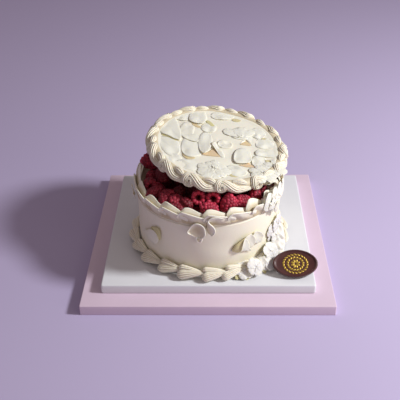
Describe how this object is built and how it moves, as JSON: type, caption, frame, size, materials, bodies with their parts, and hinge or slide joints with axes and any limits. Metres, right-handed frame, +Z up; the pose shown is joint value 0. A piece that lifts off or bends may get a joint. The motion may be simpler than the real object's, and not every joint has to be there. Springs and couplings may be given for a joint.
{
  "type": "raspberry cream cake on square boards",
  "caption": "Round cream cake with piped ruffle and shell borders, raspberries under a tilted cream lid, white petals, an oval chocolate plaque, on a white drum board over a lilac board",
  "frame": {"origin": "middle of the lower board's underside", "axes": "+Z up, -Y the front that the plaque and the low side of the lid face, +X to the right"},
  "size_m": [0.3, 0.3, 0.166],
  "materials": {
    "cream": "smooth whipped buttercream, soft satin, ivory white",
    "petal": "thin white flower petal, soft, slightly translucent, greenish at the base",
    "raspberry": "fresh raspberry, deep crimson beads with a soft bloom",
    "chocolate": "tempered dark chocolate, satin",
    "gold": "edible gold dust",
    "white_card": "white foil paper over board, satin",
    "lilac_card": "lilac coated card, satin"
  },
  "bodies": {
    "root": {"base_board": "lilac_card", "drum_board": "white_card", "cake_body": "cream", "rim_ruffle": "cream", "bottom_border": "cream", "lid": "cream", "lid_border": "cream", "front_drape": "cream", "drape_loop": "cream", "plaque": "chocolate", "plaque_dab": "cream", "berry_heap": "raspberry", "berry_01": "raspberry", "berry_02": "raspberry", "berry_03": "raspberry", "berry_04": "raspberry", "berry_05": "raspberry", "berry_06": "raspberry", "berry_07": "raspberry", "berry_08": "raspberry", "berry_09": "raspberry", "berry_10": "raspberry", "berry_11": "raspberry", "berry_12": "raspberry", "berry_13": "raspberry", "berry_14": "raspberry", "berry_15": "raspberry", "berry_back_1": "raspberry", "berry_back_2": "raspberry", "berry_back_3": "raspberry", "berry_back_4": "raspberry", "berry_back_5": "raspberry", "berry_back_6": "raspberry", "berry_back_7": "raspberry", "berry_back_8": "raspberry", "berry_back_9": "raspberry", "foot_petal_corner": "petal", "foot_petal_front": "petal", "foot_petal_right": "petal", "foot_petal_side": "petal", "lid_petal_back": "petal", "lid_petal_blade": "petal", "lid_petal_crown": "petal", "lid_petal_east": "petal", "lid_petal_far_east": "petal", "lid_petal_flat": "petal", "lid_petal_fold": "petal", "lid_petal_inner": "petal", "lid_petal_middle": "petal", "lid_petal_north": "petal", "lid_petal_north_west": "petal", "lid_petal_south": "petal", "lid_petal_tuft": "petal", "lid_petal_west": "petal", "rim_petal_left": "petal", "rim_petal_right": "petal", "wall_petal_left": "petal", "wall_petal_middle": "petal", "wall_petal_shaded": "petal", "wall_petal_upper": "petal"}
  },
  "joints": []
}
